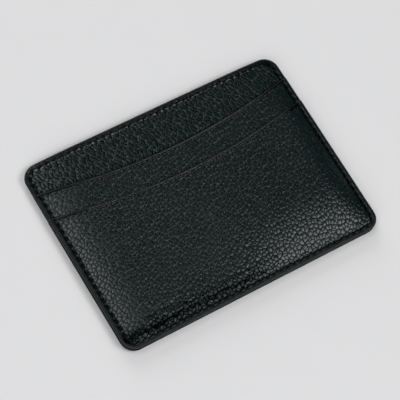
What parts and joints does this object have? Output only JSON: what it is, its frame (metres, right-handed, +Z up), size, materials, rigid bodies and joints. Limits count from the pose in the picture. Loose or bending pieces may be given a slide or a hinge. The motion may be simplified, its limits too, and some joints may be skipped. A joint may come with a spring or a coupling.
{
  "type": "card holder",
  "caption": "Slim flat card holder of pebbled leather: two sewn halves with stacked, shallow-curved card slots on both faces and an open centre pocket.",
  "frame": {"origin": "middle of the footprint, on the surface the holder lies on, with its back face down", "axes": "+X along the width, +Y out of the pocket mouths towards the top edge, +Z up out of the front face"},
  "size_m": [0.1, 0.072, 0.0051],
  "materials": {
    "leather": "pebbled grain, semi-matt",
    "edge_paint": "painted edge, satin",
    "lining": "fine twill weave, matt",
    "board": "bonded fibre board, matt",
    "thread": "twisted thread, matt"
  },
  "bodies": {
    "root": {"back_lower_pocket": "leather", "back_lower_mouth_edge": "edge_paint", "back_upper_pocket": "leather", "back_upper_mouth_edge": "edge_paint", "back_slot_tail": "lining", "back_slot_floor_seam": "thread", "back_base_panel": "leather", "back_stiffener": "board", "back_centre_lining": "lining", "back_edge_bead": "edge_paint", "back_top_thread": "thread", "perimeter_bobbin_thread": "thread", "front_lower_pocket": "leather", "front_lower_mouth_edge": "edge_paint", "front_upper_pocket": "leather", "front_upper_mouth_edge": "edge_paint", "front_slot_tail": "lining", "front_slot_floor_seam": "thread", "front_base_panel": "leather", "front_stiffener": "board", "front_centre_lining": "lining", "front_edge_bead": "edge_paint", "front_top_thread": "thread", "perimeter_needle_thread": "thread"}
  },
  "joints": []
}
